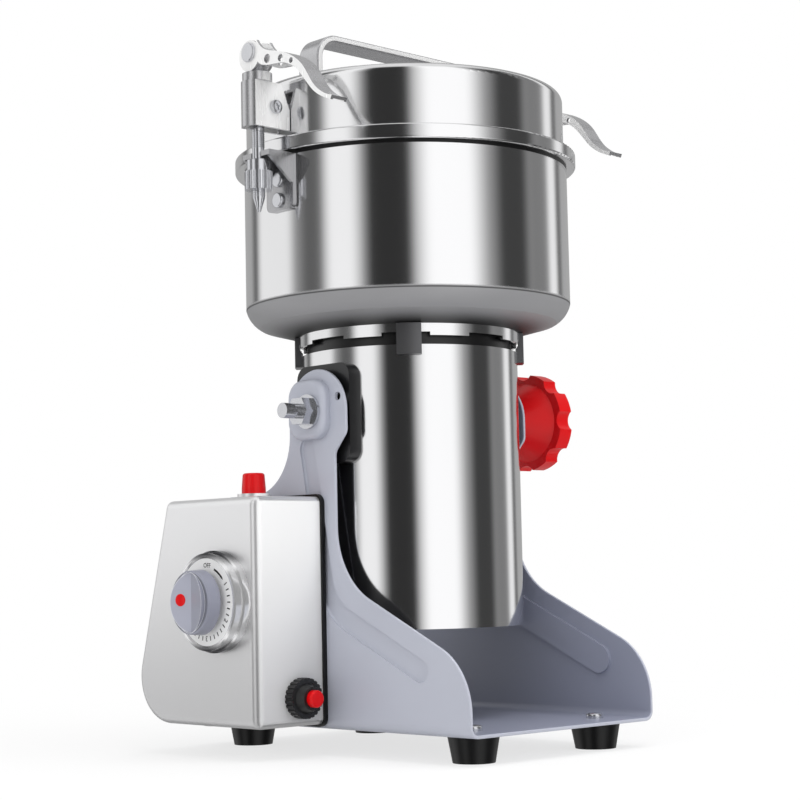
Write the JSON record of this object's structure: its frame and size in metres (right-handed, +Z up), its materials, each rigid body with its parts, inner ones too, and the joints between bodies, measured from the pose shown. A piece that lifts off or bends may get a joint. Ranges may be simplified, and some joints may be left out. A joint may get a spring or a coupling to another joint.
{
  "type": "powder grinder",
  "caption": "Tilting stainless powder grinder on a grey bent-sheet stand with a timer box, cam latches and a red clamp knob.",
  "frame": {"origin": "middle of the footprint on the surface that the feet stand on", "axes": "+Z up; -Y is the open front that the bowl tips towards; -X is the side of the control box"},
  "size_m": [0.2736, 0.2378, 0.4205],
  "materials": {
    "painted_grey": "satin paint",
    "painted_black": "satin paint",
    "polished_steel": "polished",
    "satin_steel": "satin",
    "bead_blasted_steel": "matt",
    "bright_chrome": "mirror",
    "zinc_steel": "bright zinc",
    "black_rubber": "matt",
    "black_plastic": "fine grain",
    "grey_plastic": "satin",
    "white_plastic": "satin",
    "red_plastic": "gloss",
    "cast_aluminium": "as cast",
    "motor_iron": "varnished laminations",
    "copper_wire": "varnished",
    "nylon": "natural"
  },
  "bodies": {
    "stand": {"stand_frame": "painted_grey", "feet": "black_rubber", "foot_screws": "zinc_steel", "control_box": "satin_steel", "box_gasket": "black_rubber", "timer_bezel": "bright_chrome", "timer_dial": "white_plastic", "timer_body": "black_plastic", "switch_housing": "black_plastic", "reset_housing": "black_plastic", "cord_grommet": "black_rubber", "pivot_bushes": "nylon"},
    "timer": {"timer_shaft": "zinc_steel", "timer_knob": "grey_plastic"},
    "switch": {"switch_button": "red_plastic"},
    "reset": {"reset_button": "red_plastic"},
    "grinder": {"motor_housing": "polished_steel", "housing_base": "cast_aluminium", "neck_sleeve": "black_plastic", "vent_ring": "polished_steel", "neck_posts": "polished_steel", "bowl": "polished_steel", "bowl_seal": "black_rubber", "lid": "polished_steel", "lid_handle": "polished_steel", "handle_rivets": "zinc_steel", "lid_lug_left": "polished_steel", "lid_lug_right": "polished_steel", "keeper_left": "polished_steel", "keeper_right": "polished_steel", "keeper_rivets": "zinc_steel", "pivot_saddles": "painted_black", "pivot_stud_left": "zinc_steel", "pivot_stud_right": "zinc_steel", "pivot_nut": "zinc_steel", "pivot_washers": "zinc_steel", "bearings": "zinc_steel", "bearing_plate": "cast_aluminium", "stator": "motor_iron", "field_coils": "copper_wire"},
    "rotor": {"rotor_shaft": "zinc_steel", "rotor_core": "motor_iron", "cooling_fan": "black_plastic", "blade_lower": "satin_steel", "blade_upper": "satin_steel", "blade_nut": "zinc_steel"},
    "clamp": {"clamp_knob": "red_plastic"},
    "latch_left": {"latch_strap_left": "polished_steel", "latch_screw_left": "zinc_steel"},
    "draw_left": {"latch_rod_left": "zinc_steel"},
    "lever_left": {"latch_lever_left": "polished_steel", "lever_pin_left": "zinc_steel"},
    "nut_left": {"latch_nut_left": "zinc_steel"},
    "latch_right": {"latch_strap_right": "polished_steel", "latch_screw_right": "zinc_steel"},
    "draw_right": {"latch_rod_right": "zinc_steel"},
    "lever_right": {"latch_lever_right": "polished_steel", "lever_pin_right": "zinc_steel"},
    "nut_right": {"latch_nut_right": "zinc_steel"}
  },
  "joints": [
    {"name": "tilt", "type": "hinge", "parent": "stand", "child": "grinder", "pos_m": [0.0117, 0.00108, 0.197], "axis": [1, 0, 0], "range_deg": [0, 105]},
    {"name": "clamp_turn", "type": "hinge", "parent": "grinder", "child": "clamp", "pos_m": [0.1249, 0.00108, 0.197], "axis": [1, 0, 0], "range_deg": [0, 360]},
    {"name": "timer_turn", "type": "hinge", "parent": "stand", "child": "timer", "pos_m": [-0.1133, 0.03108, 0.089], "axis": [1, 0, 0], "range_deg": [0, 300]},
    {"name": "switch_press", "type": "slide", "parent": "stand", "child": "switch", "axis": [0, 0, -1], "range_m": [0, 0.003], "stiffness_N_per_m": 400, "springref_m": -0.001},
    {"name": "reset_press", "type": "slide", "parent": "stand", "child": "reset", "axis": [0, 1, 0], "range_m": [0, 0.0025], "stiffness_N_per_m": 400, "springref_m": -0.001},
    {"name": "rotor_spin", "type": "hinge", "parent": "grinder", "child": "rotor", "pos_m": [0.0117, 0.00108, 0.078], "axis": [0, 0, 1], "continuous": true},
    {"name": "latch_left_swing", "type": "hinge", "parent": "grinder", "child": "latch_left", "pos_m": [-0.0963, 0.00108, 0.371], "axis": [0, 1, 0], "range_deg": [0, 22]},
    {"name": "draw_left_drop", "type": "slide", "parent": "latch_left", "child": "draw_left", "axis": [0, 0, -1], "range_m": [0, 0.00275]},
    {"name": "lever_left_open", "type": "hinge", "parent": "draw_left", "child": "lever_left", "pos_m": [-0.104, 0.00108, 0.4019], "axis": [-1, 0, 0], "range_deg": [0, 110]},
    {"name": "nut_left_turn", "type": "hinge", "parent": "draw_left", "child": "nut_left", "pos_m": [-0.104, 0.00108, 0.3225], "axis": [0, 0, 1], "continuous": true},
    {"name": "latch_right_swing", "type": "hinge", "parent": "grinder", "child": "latch_right", "pos_m": [0.1197, 0.00108, 0.371], "axis": [0, -1, 0], "range_deg": [0, 22]},
    {"name": "draw_right_drop", "type": "slide", "parent": "latch_right", "child": "draw_right", "axis": [0, 0, -1], "range_m": [0, 0.00275]},
    {"name": "lever_right_open", "type": "hinge", "parent": "draw_right", "child": "lever_right", "pos_m": [0.1274, 0.00108, 0.4019], "axis": [-1, 0, 0], "range_deg": [0, 110]},
    {"name": "nut_right_turn", "type": "hinge", "parent": "draw_right", "child": "nut_right", "pos_m": [0.1274, 0.00108, 0.3225], "axis": [0, 0, 1], "continuous": true}
  ],
  "couplings": [
    {"joint": "draw_left_drop", "follows": "lever_left_open", "m_per_rad": 0.0014324},
    {"joint": "draw_right_drop", "follows": "lever_right_open", "m_per_rad": 0.0014324}
  ]
}
